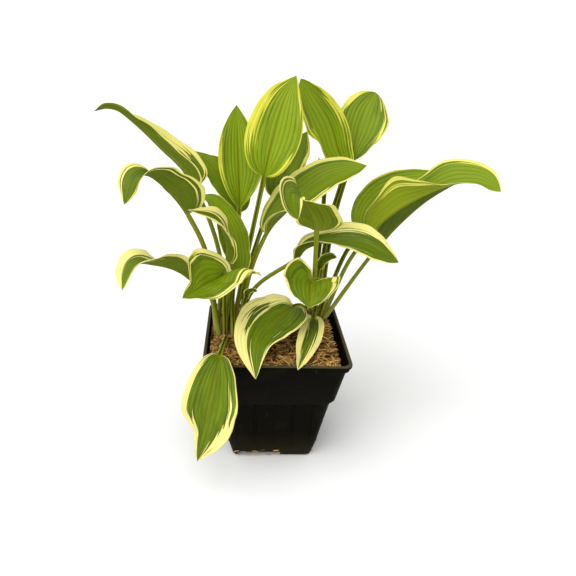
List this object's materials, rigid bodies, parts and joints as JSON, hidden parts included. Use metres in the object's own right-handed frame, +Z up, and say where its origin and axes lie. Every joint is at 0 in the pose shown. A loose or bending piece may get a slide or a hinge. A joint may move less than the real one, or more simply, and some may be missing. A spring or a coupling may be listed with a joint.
{
  "type": "potted hosta plant",
  "caption": "Leafy foliage plant with arching stalks and pointed, pale-edged blades, growing in a tapered square nursery pot topped with rice-hull mulch.",
  "frame": {"origin": "middle of the pot's underside", "axes": "+Z up, -Y out of the pot's front side, +X to the right seen from the front"},
  "size_m": [0.3116, 0.1764, 0.3014],
  "materials": {
    "black_plastic": "satin moulded plastic with light dust",
    "potting_soil": "matt, crumbly",
    "rice_hulls": "matt, dry husks",
    "crown_flesh": "matt, fleshy",
    "hosta_leaf": "softly waxy green with cream margins"
  },
  "bodies": {
    "root": {"pot": "black_plastic", "potting_soil": "potting_soil", "rice_hull_mulch": "rice_hulls", "crown_left": "crown_flesh", "crown_right": "crown_flesh", "leaf_01": "hosta_leaf", "leaf_02": "hosta_leaf", "leaf_03": "hosta_leaf", "leaf_04": "hosta_leaf", "leaf_05": "hosta_leaf", "leaf_06": "hosta_leaf", "leaf_07": "hosta_leaf", "leaf_08": "hosta_leaf", "leaf_09": "hosta_leaf", "leaf_10": "hosta_leaf", "leaf_11": "hosta_leaf", "leaf_12": "hosta_leaf", "leaf_13": "hosta_leaf", "leaf_14": "hosta_leaf", "leaf_15": "hosta_leaf", "leaf_16": "hosta_leaf", "leaf_17": "hosta_leaf", "leaf_18": "hosta_leaf", "leaf_19": "hosta_leaf", "leaf_20": "hosta_leaf", "leaf_21": "hosta_leaf", "leaf_22": "hosta_leaf", "leaf_23": "hosta_leaf", "leaf_24": "hosta_leaf", "leaf_25": "hosta_leaf"}
  },
  "joints": []
}
